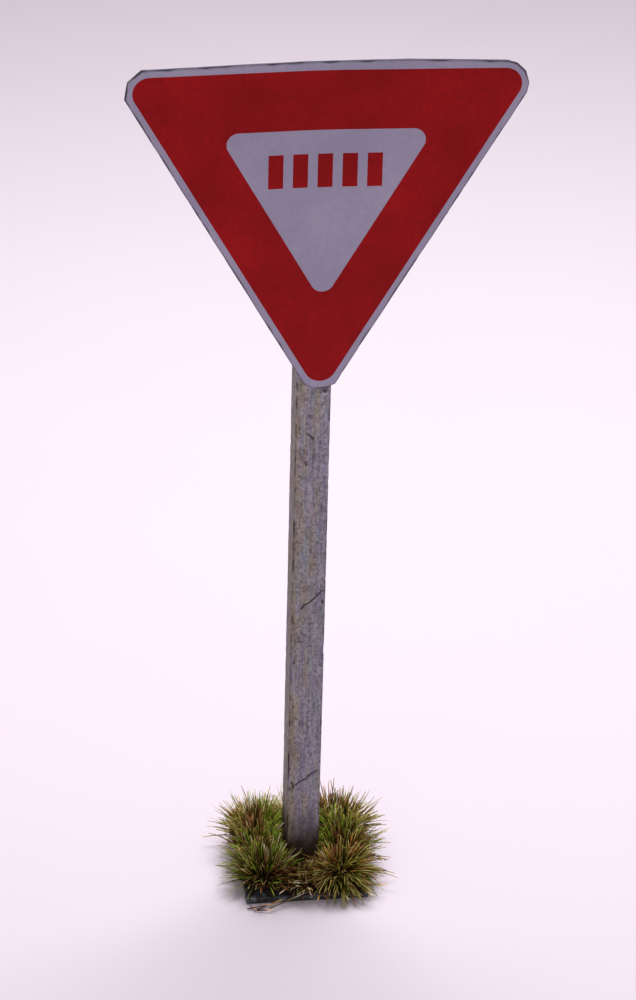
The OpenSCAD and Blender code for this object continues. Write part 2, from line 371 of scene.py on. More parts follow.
def start_edit(obj, mode):
    """Opens the piece in edit mode with nothing selected."""
    pick(obj)
    bpy.ops.object.mode_set(mode="EDIT")
    bpy.ops.mesh.select_mode(type=mode)
    bpy.ops.mesh.select_all(action="DESELECT")


def select_where(obj, kind, wanted):
    """Selects only those edges or faces, as kind says, that satisfy wanted(item)."""
    bpy.ops.mesh.select_all(action="DESELECT")
    shape = bmesh.from_edit_mesh(obj.data)
    shape.normal_update()
    for item in getattr(shape, kind):
        if wanted(item):
            item.select = True
    shape.select_flush_mode()
    bmesh.update_edit_mesh(obj.data)


def select_edges(obj, wanted):
    """Selects the edges whose two ends satisfy wanted(a, b)."""
    select_where(obj, "edges", lambda edge: wanted(edge.verts[0].co, edge.verts[1].co))


def select_faces(obj, wanted):
    """Selects the faces whose middle and normal satisfy wanted(middle, normal)."""
    select_where(obj, "faces", lambda face: wanted(face.calc_center_median(), face.normal))


def end_edit():
    bpy.ops.object.mode_set(mode="OBJECT")


def finish_piece(obj, slot, material, *nodes, smooth=35):
    """Last step for every new piece: smooth shading, material, body and CAD nodes; slot is not
    used.
    """
    pick(obj)
    bpy.ops.object.shade_smooth_by_angle(angle=math.radians(smooth))
    obj.data.materials.clear()
    obj.data.materials.append(material)
    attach(obj, BODY)
    if nodes:
        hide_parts(*nodes)
    return obj


def merged_copy(node, name):
    """A copy of a CAD node's mesh with its loose triangles joined and its flat areas whole."""
    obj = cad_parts[node].copy()
    obj.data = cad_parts[node].data.copy()
    for key in list(obj.keys()):
        del obj[key]
    obj.parent = None
    obj.name = obj.data.name = name
    bpy.context.scene.collection.objects.link(obj)
    start_edit(obj, "VERT")
    bpy.ops.mesh.select_all(action="SELECT")
    bpy.ops.mesh.remove_doubles(threshold=0.002 * MM)
    bpy.ops.mesh.dissolve_limited(angle_limit=math.radians(0.5))
    end_edit()
    bpy.ops.mesh.customdata_custom_splitnormals_clear()
    return obj


def paint(obj, name, value_at):
    """Stores value_at(point) on each vertex as a named attribute."""
    values = obj.data.attributes.new(name, "FLOAT", "POINT")
    for vertex, cell in zip(obj.data.vertices, values.data):
        cell.value = value_at(vertex.co)


def waver(x, y, z):
    """Smooth noise at a point, from about -1 to 1."""
    return noise.noise(Vector((x, y, z)))


def ramp(value, start, end):
    """0 before start, 1 after end, and smooth between them."""
    t = min(max((value - start) / (end - start), 0.0), 1.0)
    return t * t * (3 - 2 * t)


# ---------------- post

# The post's grid: cuts along it, cuts of each of those lengths, and cuts across each face
POST_CUTS = (24, 17, 27)
POST_ARRIS = 0.1            # mm, softening of its long edges
# Cracks and nicks in the post's front face: (x, z) points in mm, then width and depth in mm
CRACKS = [
    ([(-1.7, 16.4), (-1.1, 16.6), (-0.4, 17.2), (0.3, 17.5), (0.95, 18.3), (1.6, 18.7),
      (2.1, 18.9)], 0.17, 0.3),
    ([(-1.85, 16.95), (-1.65, 16.4), (-1.6, 15.8)], 0.18, 0.25),
    ([(-2.5, 16.2), (-2.15, 15.8), (-1.7, 15.4)], 0.15, 0.14),
    ([(-1.0, 47.1), (-0.6, 47.7), (0.15, 48.1), (0.9, 48.8), (1.45, 49.4), (2.0, 50.0)],
     0.17, 0.24),
    ([(0.8, 51.1), (1.2, 51.4)], 0.14, 0.1),
    ([(2.0, 48.4), (2.1, 47.9)], 0.2, 0.2),
    ([(-0.85, 76.0), (-0.3, 75.6), (0.1, 75.1)], 0.2, 0.18),
    ([(-0.5, 78.9), (-0.35, 78.5)], 0.15, 0.15),
    ([(-0.95, 71.4), (-0.8, 70.9)], 0.2, 0.2),
    ([(-1.75, 69.2), (-1.5, 68.7)], 0.17, 0.15),
    ([(-1.45, 42.5), (-1.3, 41.6), (-0.85, 41.3)], 0.15, 0.12),
    ([(-1.9, 38.4), (-1.95, 37.9)], 0.2, 0.12),
    ([(0.2, 38.2), (0.15, 37.8)], 0.18, 0.12),
    ([(-2.35, 45.6), (-2.1, 44.6)], 0.18, 0.14),
    ([(1.25, 80.9), (1.2, 80.3)], 0.11, 0.1),
    ([(0.2, 82.95), (0.32, 82.85)], 0.14, 0.06),
    ([(1.0, 82.5), (1.1, 82.4), (1.6, 82.35)], 0.13, 0.06),
]
# Smears: middle (x, z) in mm, half width, half length and strength
SMEARS = [
    (-0.55, 21.5, 0.33, 2.6, 0.34), (-0.6, 27.4, 0.42, 1.3, 0.34), (0.25, 26.6, 0.13, 1.6, 0.4),
    (0.35, 31.0, 0.16, 4.5, 0.25), (0.35, 43.0, 0.14, 3.4, 0.42), (-2.25, 58.0, 0.16, 6.0, 0.3),
    (0.4, 66.0, 0.14, 7.0, 0.2), (-0.2, 37.0, 0.7, 1.3, 0.14), (1.8, 44.0, 0.5, 1.6, 0.14),
    (-0.2, 81.6, 1.3, 0.6, 0.16), (-2.0, 22.8, 0.15, 1.4, 0.35), (-1.2, 14.6, 0.35, 1.0, 0.3),
    (2.35, 27.0, 0.15, 2.6, 0.35), (-2.35, 21.0, 0.17, 3.4, 0.4), (1.0, 12.5, 0.5, 1.5, 0.14),
    (0.75, 54.4, 0.2, 0.3, 0.5), (2.3, 60.0, 0.2, 3.0, 0.2), (-0.1, 60.5, 0.5, 1.6, 0.12),
    (1.5, 18.4, 0.7, 0.7, 0.28), (1.2, 49.6, 0.5, 0.5, 0.2), (0.6, 76.2, 0.5, 0.5, 0.2),
]
STAIN_FROM = 2.5            # mm up the post, where the paste's stain is full
STAIN_TO = 15.5             # mm up the post, where it ends
END_GRAIN_FROM = 125.6      # mm up the post; the end grain above has soaked up more wash


def distance_to_path(x, z, path):
    """Distance from a point to the line through a path's points."""
    best = 1e9
    for (x0, z0), (x1, z1) in zip(path, path[1:]):
        dx, dz = x1 - x0, z1 - z0
        t = min(max(((x - x0) * dx + (z - z0) * dz) / (dx * dx + dz * dz), 0.0), 1.0)
        best = min(best, math.hypot(x - x0 - t * dx, z - z0 - t * dz))
    return best


def crack_gap(x, z):
    """Distance in mm from a point of the front face to the nearest crack."""
    return min(distance_to_path(x, z, path) for path, _, _ in CRACKS)


def crack_at(x, z):
    """How deep the cracks are at a point of the front face, in mm, and how dark, 0 to 1."""
    deep, dark = 0.0, 0.0
    for path, width, depth in CRACKS:
        if min(p[1] for p in path) - 0.5 < z < max(p[1] for p in path) + 0.5:
            wobble = 0.05 * waver(x * 3, z * 3, 3.0)
            near = 1 - ramp(distance_to_path(x, z, path) + wobble, 0.35 * width, width)
            deep = max(deep, near * depth)
            dark = max(dark, near * min(0.4 + 2.1 * depth, 1.0))
    return deep, dark


def stain_at(point):
    """Dark stains on the post: its foot and arrises, and in front its cracks and smears."""
    x, y, z = (c / MM for c in point)
    ragged = 1.8 * waver(x * 0.9, y * 0.9, z * 0.35)
    value = 0.95 * (1 - ramp(z + ragged, STAIN_FROM, STAIN_TO))
    value += 0.4 * ramp(z, END_GRAIN_FROM, END_GRAIN_FROM + 0.3)
    arris = ramp(min(abs(x), abs(y)), 2.12, 2.4)
    broken = ramp(waver(x * 0.8, y * 0.8, z * 0.45 + 11.0), -0.25, 0.35)
    value += 0.45 * arris * broken
    if x < -2.35:       # the left side face is darker, unevenly
        value += 0.24 + 0.3 * waver(y * 0.9, z * 0.7, 51.0)
    if y < -2.2:
        for mx, mz, half_w, half_l, strength in SMEARS:
            spread = ((x - mx) / half_w) ** 2 + ((z - mz) / half_l) ** 2
            if spread < 9:
                value += strength * math.exp(-spread)
        faint = 0.72 + 0.35 * waver(x * 1.6, z * 1.6, 31.0)
        value = max(value, faint * crack_at(x, z)[1])
    return min(value, 1.0)


def make_post(material):
    """A square strip with softened edges, cut into a fine grid, then worn and cracked."""
    low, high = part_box("post")
    bpy.ops.mesh.primitive_cube_add(size=1, location=(low + high) / 2, scale=high - low)
    post = put_in_place(bpy.context.active_object, "post_strip")
    start_edit(post, "EDGE")
    upright = 0.9 * (high.z - low.z)
    select_edges(post, lambda a, b: abs(a.z - b.z) > upright)
    bpy.ops.mesh.bevel(offset=POST_ARRIS * MM, segments=2, affect="EDGES")
    along, again, across = POST_CUTS
    select_edges(post, lambda a, b: abs(a.z - b.z) > upright)
    bpy.ops.mesh.subdivide(number_cuts=along)
    select_edges(post, lambda a, b: abs(a.z - b.z) > upright / 30)
    bpy.ops.mesh.subdivide(number_cuts=again)
    wide = 0.8 * (high.x - low.x)
    select_edges(post, lambda a, b: abs(a.z - b.z) < 0.01 * MM and (a - b).length > wide)
    bpy.ops.mesh.subdivide(number_cuts=across)
    # a finer grid where the cracks are
    select_faces(post, lambda m, n: n.y < -0.9 and crack_gap(m.x / MM, m.z / MM) < 0.35)
    bpy.ops.mesh.subdivide(number_cuts=3)
    end_edit()
    half = (high.x - low.x) / 2 / MM
    rounded = 0.31          # mm from the arris, where a point sinks both ways
    for vertex in post.data.vertices:
        x, y, z = (c / MM for c in vertex.co)
        out = Vector((x if abs(x) > abs(y) - rounded else 0,
                      y if abs(y) > abs(x) - rounded else 0, 0))
        out.normalize()
        groove = waver(x * 3.1, y * 3.1, z * 0.11)
        fine = waver(x * 7.0, y * 7.0, z * 0.5 + 9.0)
        waves = waver(x * 0.2, y * 0.2, z * 0.23 + 40.0)
        chips = waver(x * 0.7, y * 0.7, z * 0.9 + 70.0)
        corner = ramp(min(abs(x), abs(y)), half - 0.75, half - 0.15)
        sink = 0.01 + 0.03 * groove + 0.02 * fine + 0.015 * waves
        sink += corner * (0.09 * max(chips, 0) + 0.02 * fine)
        if y < -half + 0.35:
            sink += crack_at(x, z)[0]
        vertex.co -= out * max(sink, 0) * MM
    paint(post, "stain", stain_at)
    return finish_piece(post, "post_wood", material, "post", smooth=50)


# ---------------- sign

def outline_of(node):
    """The corner points of a sheet's front outline, as (x, z), in order round the sheet."""
    corners = {(round(v.co.x, 6), round(v.co.z, 6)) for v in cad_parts[node].data.vertices}
    return hull_2d([Vector(c) for c in corners])


def hull_2d(points):
    """Corners of the convex outline round some points, anticlockwise."""
    points = sorted(points, key=lambda p: (p.x, p.y))
    chain = []
    for sweep in (points, list(reversed(points))):
        start = len(chain)
        for p in sweep:
            while len(chain) >= start + 2 and left_turn(chain[-2], chain[-1], p) <= 0:
                chain.pop()
            chain.append(p)
        chain.pop()
    return chain


def left_turn(a, b, c):
    """Above 0 where the path from a through b to c turns left."""
    return (b.x - a.x) * (c.y - a.y) - (b.y - a.y) * (c.x - a.x)


def inward(outline, x, z):
    """Distance to the nearest side of an outline, and the direction inwards from it."""
    here = Vector((x, z))
    best, way = 1e9, Vector((0, 0))
    for a, b in zip(outline, outline[1:] + outline[:1]):
        side = (b - a).normalized()
        gap = abs(side.x * (here.y - a.y) - side.y * (here.x - a.x))
        if gap < best:
            best, way = gap, Vector((-side.y, side.x))
    return best, way


def rim_paint(outline, reach):
    """For paint(): 1 on a sheet's cut rim, down to 0 at reach mm inside it."""
    return lambda p: 1 - min(inward(outline, p.x, p.z)[0] / (reach * MM), 1.0)


WING_SLOPE = math.tan(math.radians(2.5))    # how steeply the wings come forward
BEND_AT = 2.5               # mm from the middle, where the CAD wings start
BEND_SPREAD = 2.0           # mm on both sides of that, over which the real bend is spread
SHEET_GRID = 1.3            # mm between the cuts that let a sheet bend
CRUSHED = 0.07              # mm, rounding of the card's cut edges
PAINT_CREEP = (0.02, 0.2)   # mm of the face that the dark edge paint covers, least and most


def cut_in_grid(obj):
    """Cuts a sheet by upright and level planes, so that it can bend."""
    low = Vector([min(v.co[i] for v in obj.data.vertices) for i in range(3)]) / MM
    high = Vector([max(v.co[i] for v in obj.data.vertices) for i in range(3)]) / MM
    start_edit(obj, "FACE")
    bpy.ops.mesh.select_all(action="SELECT")
    bpy.ops.mesh.quads_convert_to_tris()
    for axis, normal in ((0, (1, 0, 0)), (2, (0, 0, 1))):
        for i in range(1, int((high[axis] - low[axis]) / SHEET_GRID) + 1):
            spot = [0, 0, 0]
            spot[axis] = (low[axis] + (i - 0.37) * SHEET_GRID) * MM
            bpy.ops.mesh.select_all(action="SELECT")
            bpy.ops.mesh.bisect(plane_co=spot, plane_no=normal)
    end_edit()


def wing_bow(x):
    """How far the wing comes forward at x mm from the middle: the fold is a soft bend."""
    x = abs(x)
    start, end = BEND_AT - BEND_SPREAD, BEND_AT + BEND_SPREAD
    if x < start:
        return 0.0
    if x < end:
        return WING_SLOPE * (x - start) ** 2 / (2 * (end - start))
    return WING_SLOPE * (x - BEND_AT)


def bend_sheet(obj):
    """Turns the folded CAD sheet into one softly bent, faintly wavy sheet."""
    for vertex in obj.data.vertices:
        x, y, z = (c / MM for c in vertex.co)
        flat_y = y + max(abs(x) - BEND_AT, 0) * WING_SLOPE
        wave = 0.09 * ramp(abs(x), 3, 9) * waver(x / 11, z / 9, 8.0)
        vertex.co.y = (flat_y - wing_bow(x) + wave) * MM


def trim_edge(obj, outline, trim_at, blend_mm):
    """Moves the rim inwards by trim_at(x, z) mm, and less and less up to blend_mm inside."""
    for vertex in obj.data.vertices:
        gap, way = inward(outline, vertex.co.x, vertex.co.z)
        share = 1 - min(gap / MM / blend_mm, 1.0)
        if share > 0:
            move = way * share * trim_at(vertex.co.x / MM, vertex.co.z / MM) * MM
            vertex.co.x += move.x
            vertex.co.z += move.y


def scissor_wobble(x, z):
    """Unevenness of the hand-cut rim, in mm."""
    slow = 0.5 + 0.5 * waver(x / 3.0, z / 3.0, 21.0)
    quick = abs(waver(x * 1.7, z * 1.7, 5.0))
    return 0.05 * slow + 0.06 * quick


def paint_creep(x, z):
    """How far the dark edge paint has run onto the face, in mm."""
    least, most = PAINT_CREEP
    blot = ramp(waver(x / 2.2, z / 2.2, 3.0), -0.15, 0.4)
    return scissor_wobble(x, z) + least + (most - least) * blot


def make_sign_card(material, outline):
    """The card blank: its cut edges are crushed round by the scissors and painted dark."""
    card = merged_copy("sign_card", "sign_blank")
    start_edit(card, "EDGE")
    select_edges(card, lambda a, b: on_rim(outline, a) and on_rim(outline, b)
                 and abs(a.y - b.y) < 0.2 * MM)
    bpy.ops.mesh.bevel(offset=CRUSHED * MM, segments=2, affect="EDGES")
    end_edit()
    cut_in_grid(card)
    bend_sheet(card)
    trim_edge(card, outline, scissor_wobble, blend_mm=0.9)
    paint(card, "edge", rim_paint(outline, reach=2.0))
    return finish_piece(card, "card", material, "sign_card", smooth=40)


def on_rim(outline, point):
    """True for a point on the sheet's cut edge."""
    return inward(outline, point.x, point.z)[0] < 0.02 * MM


def make_print(node, name, slot, material, outline):
    """One colour area of the printed face, with its distance from the cut edge painted on."""
    area = merged_copy(node, name)
    cut_in_grid(area)
    bend_sheet(area)
    paint(area, "edge", rim_paint(outline, reach=1.0))
    trim_edge(area, outline, paint_creep, blend_mm=0.7)
    return finish_piece(area, slot, material, node, smooth=20)


FILM_WIDTH = 3.8            # mm, of the glue between the card and the post
FILM_THICKNESS = 0.1        # mm


def make_glue(material):
    """The glue film behind the card, and the drop squeezed out under the sign's tip: it has dried
    with a sunken middle and a raised lower lip, and its colour carries painted shade in the middle
    and a painted highlight on the lip."""
    low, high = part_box("sign_glue")
    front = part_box("post")[0].y
    proud = [v.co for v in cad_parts["sign_glue"].data.vertices
             if v.co.y < front - 0.12 * MM]
    drop_x = sum(v.x for v in proud) / len(proud)
    drop_r = front - low.y
    centre = Vector((drop_x, front, low.z + drop_r))
    bpy.ops.mesh.primitive_uv_sphere_add(segments=32, ring_count=21, radius=drop_r,
                                         location=centre, rotation=(math.pi / 2, 0, 0))
    drop = put_in_place(bpy.context.active_object, "glue_drop")
    start_edit(drop, "FACE")
    bpy.ops.mesh.select_all(action="SELECT")
    bpy.ops.mesh.bisect(plane_co=(0, front, 0), plane_no=(0, 1, 0), use_fill=True,
                        clear_outer=True, threshold=0.001 * MM)
    end_edit()
    for vertex in drop.data.vertices:
        x, z = (vertex.co.x - centre.x) / drop_r, (vertex.co.z - centre.z) / drop_r
        if vertex.co.y < front - 0.01 * MM:
            pit = 0.72 * math.exp(-((x * 1.6) ** 2 + ((z - 0.3) * 1.8) ** 2) * 1.4)
            lumps = 0.06 * waver(x * 2, z * 2, 1.0)
            vertex.co.y += (front - vertex.co.y) * min(0.3 + pit + lumps, 0.97)
    film_low = Vector((-0.5 * FILM_WIDTH * MM, front - FILM_THICKNESS * MM,
                       centre.z + 0.6 * drop_r))
    size = Vector((FILM_WIDTH * MM, FILM_THICKNESS * MM, high.z - film_low.z))
    bpy.ops.mesh.primitive_cube_add(size=1, location=film_low + size / 2, scale=size)
    film = put_in_place(bpy.context.active_object, "glue_film")
    start_edit(film, "EDGE")
    select_edges(film, lambda a, b: abs(a.z - b.z) > 10 * MM)
    bpy.ops.mesh.subdivide(number_cuts=60)
    end_edit()
    for vertex in film.data.vertices:
        above = (vertex.co.z - film_low.z) / MM
        width = ramp(above, 0.3, 3.4) * 0.86 + 0.1
        wander = 1 + 0.12 * waver(vertex.co.x * 300, 0.0, above * 0.5)
        middle = drop_x * (1 - ramp(above, 0.0, 3.0))
        vertex.co.x = middle + vertex.co.x * width * wander
    # painted shade and highlight on the drop; the film gets an even middle value
    paint(drop, "painted_shade_and_glint", lambda p: painted_shade_and_glint_at((p.x - centre.x) / drop_r, (p.z - centre.z) / drop_r))
    paint(film, "painted_shade_and_glint", lambda p: 0.3)
    pick(drop)
    film.select_set(True)
    bpy.ops.object.join()
    return finish_piece(drop, "clear_glue", material, "sign_glue", smooth=60)


def painted_shade_and_glint_at(x, z):
    """Painted shade and highlight of the drop: dark in its sunken middle, pale in a crescent along
    its lower lip; x and z are in drop radii."""
    pit = math.exp(-((x / 0.55) ** 2 + ((z - 0.35) / 0.42) ** 2))
    lip = math.exp(-((math.hypot(x, z) - 0.78) / 0.2) ** 2) * ramp(-z, -0.1, 0.6)
    return 0.42 - 0.42 * pit + 0.5 * lip


# ---------------- base

PLATE_ARRIS = 0.14          # mm, rounding of the plate's edges
KNIFE_WANDER = 0.12         # mm, how far the knife cut wanders inwards
BRUSH_MARKS = 0.05          # mm, unevenness of the plate's painted top
PASTE_GRID = 110            # cells of the paste along each side
BARE_CORNER = 3.4           # mm, radius of the corner of the plate that has no paste


def make_plate(material):
    """The square plate: knife-cut edges with a small burr, and a slightly uneven top."""
    low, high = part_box("base_plate")
    bpy.ops.mesh.primitive_cube_add(size=1, location=(low + high) / 2, scale=high - low)
    plate = put_in_place(bpy.context.active_object, "styrene_plate")
    start_edit(plate, "EDGE")
    bpy.ops.mesh.select_all(action="SELECT")
    bpy.ops.mesh.bevel(offset=PLATE_ARRIS * MM, segments=2, affect="EDGES")
    long_side = 0.5 * (high.x - low.x)
    select_edges(plate, lambda a, b: (a - b).length > long_side)
    bpy.ops.mesh.subdivide(number_cuts=40)
    end_edit()
    for vertex in plate.data.vertices:
        p = vertex.co / MM
        rough = 0.5 + 0.5 * waver(p.x * 0.8, p.y * 0.8, p.z * 2)
        side = ramp(max(abs(p.x), abs(p.y)), 8.9, 9.4)
        vertex.co.x -= math.copysign(side * rough * KNIFE_WANDER * MM, p.x)
        vertex.co.y -= math.copysign(side * rough * KNIFE_WANDER * MM, p.y)
        if p.z > 0.8:
            vertex.co.z -= BRUSH_MARKS * MM * rough
    return finish_piece(plate, "base_plastic", material, "base_plate")


def make_paste(material):
    """Gritty ground on the plate: thickest near the post, ragged at its rim."""
    low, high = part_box("ground_paste")
    plate_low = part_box("base_plate")[0]
    bead_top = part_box("post_glue")[1].z
    bpy.ops.mesh.primitive_grid_add(x_subdivisions=PASTE_GRID, y_subdivisions=PASTE_GRID, size=1,
                                    location=(0, 0, low.z))
    paste = bpy.context.active_object
    paste.scale = (high.x - low.x, high.y - low.y, 1)
    put_in_place(paste, "earth_paste")
    start_edit(paste, "FACE")
    # the bare corner of the plate, and a ragged rim elsewhere
    select_faces(paste, lambda m, n: math.hypot(m.x - plate_low.x, m.y - plate_low.y) / MM
                 < BARE_CORNER + 0.7 * noise.noise(m * 900)
                 or rim_gap(m, high) < 0.35 + 0.5 * noise.noise(m * 700 + Vector((5, 5, 5))))
    bpy.ops.mesh.delete(type="FACE")
    end_edit()
    full = (high.z - low.z) / MM
    edge_points = [v.co.copy() for v in boundary_vertices(paste)]
    for vertex in paste.data.vertices:
        p = vertex.co / MM
        rim = min((vertex.co - e).length for e in edge_points) / MM
        swell = ramp(rim, 0.0, 0.7)
        grit = waver(p.x * 2.6, p.y * 2.6, 1.0)
        lumps = waver(p.x * 0.8, p.y * 0.8, 2.0)
        near_post = 1 - ramp(max(abs(p.x), abs(p.y)), 2.4, 4.2)
        rise = full * (0.75 + 0.25 * lumps) + 0.16 * grit
        rise += near_post * (bead_top / MM - 1.0 - 0.5 * full) * (0.75 + 0.4 * lumps)
        vertex.co.z = low.z + swell * rise * MM
    thicken = paste.modifiers.new("body", "SOLIDIFY")
    thicken.thickness = 0.03 * MM
    thicken.offset = -1
    bpy.ops.object.modifier_apply(modifier=thicken.name)
    return finish_piece(paste, "ground_paste", material, "ground_paste", "post_glue", smooth=60)


def rim_gap(point, high):
    """Distance in mm from the edge of the paste's square."""
    return min(high.x - abs(point.x), high.y - abs(point.y)) / MM


def boundary_vertices(obj):
    """The vertices on a sheet's open edges."""
    shape = bmesh.new()
    shape.from_mesh(obj.data)
    found = [obj.data.vertices[v.index] for v in shape.verts if v.is_boundary]
    shape.free()
    return found


# ---------------- grass

# Fibre colours: root, middle and tip; the dark root is painted shade deep in the tuft, the pale
# tip painted light coming through the fibre
DYES_AND_PAINTED_LIGHT = {
    "moss": ("#2a180a", "#5c660f", "#a2a040"),
    "leaf": ("#2c1e09", "#6f9511", "#b4c54a"),
    "olive": ("#2d190a", "#76700f", "#cbbf70"),
    "straw": ("#4a2e16", "#c6a552", "#fff2dc"),
    "earth": ("#241008", "#5e3213", "#a37346"),
    "rust": ("#38180a", "#a8620f", "#eabb62"),
}
# Per tuft: CAD node ending, shares of the dyes in the order of the fibre colours above, factors
# for how many fibres it has, how long they are and how far they spread, more droop in degrees, and
# its
# patches: a dye, the heading of its fibres and the patch's half width, both in degrees
TUFTS = [
    ("back_left", (5, 3, 7, 5, 5, 1), 1.4, 1.03, 0.76, 0,
     (("straw", 120, 35), ("leaf", 330, 50), ("earth", 250, 40), ("olive", 190, 40))),
    ("back", (3, 2, 4, 11, 4, 0), 1.2, 1.04, 1.0, 0, (("straw", 60, 80), ("moss", 270, 50))),
    ("back_right", (3, 1, 6, 4, 9, 3), 1.5, 1.04, 0.92, 0,
     (("earth", 100, 45), ("straw", 40, 20), ("leaf", 225, 50), ("straw", 150, 30),
      ("olive", 0, 40))),
    ("left", (6, 4, 4, 3, 8, 1), 1.2, 0.9, 0.55, 0,
     (("earth", 120, 60), ("leaf", 0, 40), ("moss", 250, 45))),
    ("right", (7, 7, 4, 1, 6, 0), 1.25, 0.93, 0.85, 0,
     (("leaf", 150, 60), ("earth", 250, 45), ("olive", 20, 45))),
    ("front_left", (7, 6, 4, 2, 7, 0), 1.25, 0.9, 0.95, 0,
     (("leaf", 45, 35), ("moss", 160, 35), ("earth", 105, 32), ("olive", 200, 30),
      ("earth", 290, 55))),
    ("front", (4, 1, 3, 1, 12, 1), 0.6, 0.58, 1.0, 0, (("earth", 90, 90),)),
    ("front_right", (3, 2, 7, 1, 8, 4), 1.4, 0.97, 1.0, 26,
     (("rust", 135, 35), ("earth", 60, 45), ("olive", 320, 50), ("olive", 245, 30))),
]
CLUMPS = 9                  # in each tuft: fibres that lie one way and share a colour
LONG_FIBRES = 110           # in a tuft of the usual size
SHORT_FIBRES = 420
LONG_LENGTH = (5.4, 7.7)    # mm, shortest and longest
SHORT_LENGTH = (3.2, 6.3)
FIBRE_WIDTH = 0.18          # mm; real flock is thinner, this is as fine as still shows
STRAY_WIDTH = 0.22          # mm
RINGS = 5                   # lengths that a fibre is cut into, so that it can taper
BEND_STEPS = 8              # straight steps of the arc that it is bent along


def make_fibre():
    """One straight fibre of unit length along Z, tapering to a blunt tip."""
    bpy.ops.mesh.primitive_cylinder_add(vertices=4, radius=0.5, depth=1, end_fill_type="NGON",
                                        location=(0, 0, 0.5))
    fibre = put_in_place(bpy.context.active_object, "fibre")
    start_edit(fibre, "EDGE")
    select_edges(fibre, lambda a, b: abs(a.z - b.z) > 0.5)
    bpy.ops.mesh.subdivide(number_cuts=RINGS - 1)
    for ring, size in ((3, 0.9), (4, 0.75), (5, 0.42)):
        level = ring / RINGS
        select_edges(fibre, lambda a, b: abs(a.z - level) < 0.01 and abs(b.z - level) < 0.01)
        bpy.ops.transform.resize(value=(size, size, 1))
    end_edit()
    points = [v.co.copy() for v in fibre.data.vertices]
    faces = [tuple(p.vertices) for p in fibre.data.polygons]
    bpy.data.objects.remove(fibre)
    return points, faces


def blend_colours(a, b, t):
    """The colour that is a share t of the way from a to b."""
    return tuple(x + (y - x) * t for x, y in zip(a, b))


def fibre_line(root, lean, heading, length, droop):
    """The points of an arc that starts at root, leans towards heading and droops."""
    line = [root.copy()]
    for i in range(BEND_STEPS):
        angle = lean + droop * (i + 0.5) / BEND_STEPS
        ahead = Vector((math.cos(heading), math.sin(heading), 0)) * math.sin(angle)
        line.append(line[-1] + (ahead + Vector((0, 0, math.cos(angle)))) * length / BEND_STEPS)
    return line


def has_room(line, limits):
    """True if a fibre stays in the object's box, above the ground and out of the post."""
    low, high = limits
    keep = 0.1 * MM
    side = 2.6 * MM
    return all(low.x + keep < p.x < high.x - keep and low.y + keep < p.y < high.y - keep
               and (abs(p.x) > side or abs(p.y) > side) and p.z > keep for p in line)


def new_bunch(shape, limits):
    """An empty bunch of fibres, with the fibre to copy and the box that they stay in."""
    return {"shape": shape, "limits": limits, "points": [], "faces": [], "tints": []}


def lay_fibre(bunch, root, lean, heading, length, droop, width, dye, tone_and_painted_light, pale=1):
    """Bends a copy of the fibre along an arc from its root, clipped until it has room, and
    adds it to the bunch. Lean and droop are in degrees."""
    lean, droop = math.radians(lean), math.radians(droop)
    line = fibre_line(root, lean, heading, length, droop)
    while not has_room(line, bunch["limits"]) and length > 0.8 * MM:
        length *= 0.88
        line = fibre_line(root, lean, heading, length, droop)
    if not has_room(line, bunch["limits"]):
        return
    points, faces = bunch["shape"]
    first = len(bunch["points"])
    side = Vector((-math.sin(heading), math.cos(heading), 0))
    dark, middle, tip = (linear(c) for c in DYES_AND_PAINTED_LIGHT[dye])
    for p in points:
        t = min(max(p.z, 0), 1) * BEND_STEPS
        i = min(int(t), BEND_STEPS - 1)
        along = (line[i + 1] - line[i]).normalized()
        centre = line[i].lerp(line[i + 1], t - i)
        bunch["points"].append(centre + (side * p.x + along.cross(side) * p.y) * width)
        # the darker root is painted shade and the paler tip painted backlight
        colour = blend_colours(dark, middle, ramp(p.z, 0.3, 0.85))
        colour = blend_colours(colour, tip, pale * ramp(p.z, 0.55, 0.95))
        # the per-fibre factor is a random tone, and on the pale strays painted light as well
        bunch["tints"].append(tuple(c * tone_and_painted_light for c in colour[:3]) + (1.0,))
    bunch["faces"] += [tuple(i + first for i in f) for f in faces]


